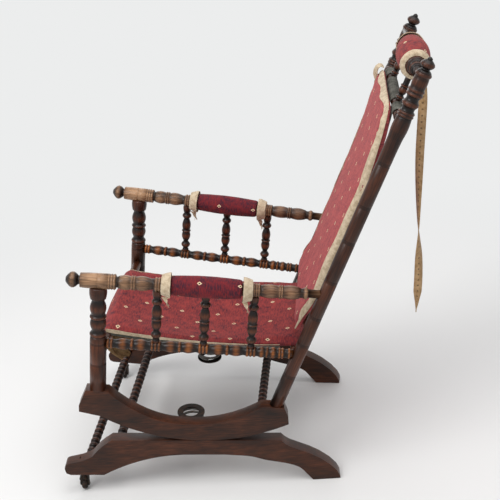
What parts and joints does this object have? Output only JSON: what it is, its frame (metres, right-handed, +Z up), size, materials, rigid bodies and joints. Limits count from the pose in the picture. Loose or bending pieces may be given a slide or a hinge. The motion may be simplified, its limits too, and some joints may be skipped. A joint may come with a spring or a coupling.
{
  "type": "platform rocker",
  "caption": "Turned wood platform rocking chair: curved rockers roll on a floor base with front casters, held by coil springs, with a slung padded seat and back, head roll and arm pads.",
  "frame": {"origin": "on the floor, below the middle of the chair's bounding box", "axes": "+Z up, the chair faces -Y, +X is the sitter's left"},
  "size_m": [0.5578, 0.8976, 1.0181],
  "materials": {
    "dark_wood": "old stained and waxed",
    "worn_wood": "stain worn through to lighter wood at the front of the arms",
    "red_cloth": "woven wool with small cream diamonds",
    "cream_braid": "woven braid, aged",
    "jute": "coarse webbing and hessian",
    "black_iron": "blackened",
    "spring_steel": "dull"
  },
  "bodies": {
    "base": {"base_runner_left": "dark_wood", "base_runner_right": "dark_wood", "base_stretcher_front": "dark_wood", "base_stretcher_middle": "dark_wood", "base_stretcher_rear": "dark_wood", "spring_bracket_lower_left": "black_iron", "spring_bracket_lower_right": "black_iron", "lower_bracket_screws": "spring_steel", "caster_socket_left": "black_iron", "caster_socket_right": "black_iron", "coil_spring_left": "spring_steel", "coil_spring_right": "spring_steel"},
    "caster_left": {"caster_fork_left": "black_iron", "caster_axle_left": "spring_steel"},
    "wheel_left": {"caster_wheel_left": "black_iron"},
    "caster_right": {"caster_fork_right": "black_iron", "caster_axle_right": "spring_steel"},
    "wheel_right": {"caster_wheel_right": "black_iron"},
    "rear_rail": {"seat_rail_rear": "dark_wood"},
    "rocking_frame": {"rocker_left": "dark_wood", "rocker_right": "dark_wood", "front_post_left": "dark_wood", "front_post_right": "dark_wood", "back_post_left": "dark_wood", "back_post_right": "dark_wood", "arm_rail_left": "worn_wood", "arm_rail_right": "worn_wood", "side_rail_left": "dark_wood", "side_rail_right": "dark_wood", "arm_spindle_left_front": "dark_wood", "arm_spindle_left_middle": "dark_wood", "arm_spindle_left_rear": "dark_wood", "arm_spindle_right_front": "dark_wood", "arm_spindle_right_middle": "dark_wood", "arm_spindle_right_rear": "dark_wood", "seat_rail_front": "dark_wood", "back_bottom_rail": "dark_wood", "back_cross_rail": "dark_wood", "crest_rail": "dark_wood", "back_spindle_left": "dark_wood", "back_spindle_right": "dark_wood", "spring_bracket_upper_left": "black_iron", "spring_bracket_upper_right": "black_iron", "upper_bracket_screws": "spring_steel", "seat_webbing": "jute", "seat_cushion": "red_cloth", "back_lining": "jute", "back_panel": "red_cloth", "head_roll": "red_cloth", "arm_pad_left": "red_cloth", "arm_pad_right": "red_cloth", "loose_braid": "cream_braid"}
  },
  "joints": [
    {"name": "rail_swing", "type": "hinge", "parent": "base", "child": "rear_rail", "pos_m": [0, 0.29221, 0.45904], "axis": [1, 0, 0], "range_deg": [-8.2, 8.2]},
    {"name": "rock", "type": "hinge", "parent": "rear_rail", "child": "rocking_frame", "pos_m": [0, 0.11977, 0.31779], "axis": [1, 0, 0], "range_deg": [-14, 14], "stiffness_Nm_per_rad": 22, "springref_deg": 9.17, "deforming": ["coil_spring_left", "coil_spring_right"]},
    {"name": "caster_swivel_left", "type": "hinge", "parent": "base", "child": "caster_left", "pos_m": [0.25971, -0.40716, 0.05469], "axis": [0, 0.0732, 0.9973], "continuous": true},
    {"name": "wheel_spin_left", "type": "hinge", "parent": "caster_left", "child": "wheel_left", "pos_m": [0.25373, -0.41054, 0.01498], "axis": [-0.0765, 0.9944, -0.073], "continuous": true},
    {"name": "caster_swivel_right", "type": "hinge", "parent": "base", "child": "caster_right", "pos_m": [-0.25971, -0.40716, 0.05469], "axis": [0, 0.0732, 0.9973], "continuous": true},
    {"name": "wheel_spin_right", "type": "hinge", "parent": "caster_right", "child": "wheel_right", "pos_m": [-0.25373, -0.41054, 0.01498], "axis": [0.0765, 0.9944, -0.073], "continuous": true}
  ],
  "couplings": [
    {"joint": "rail_swing", "follows": "rock", "ratio": -0.56557}
  ]
}
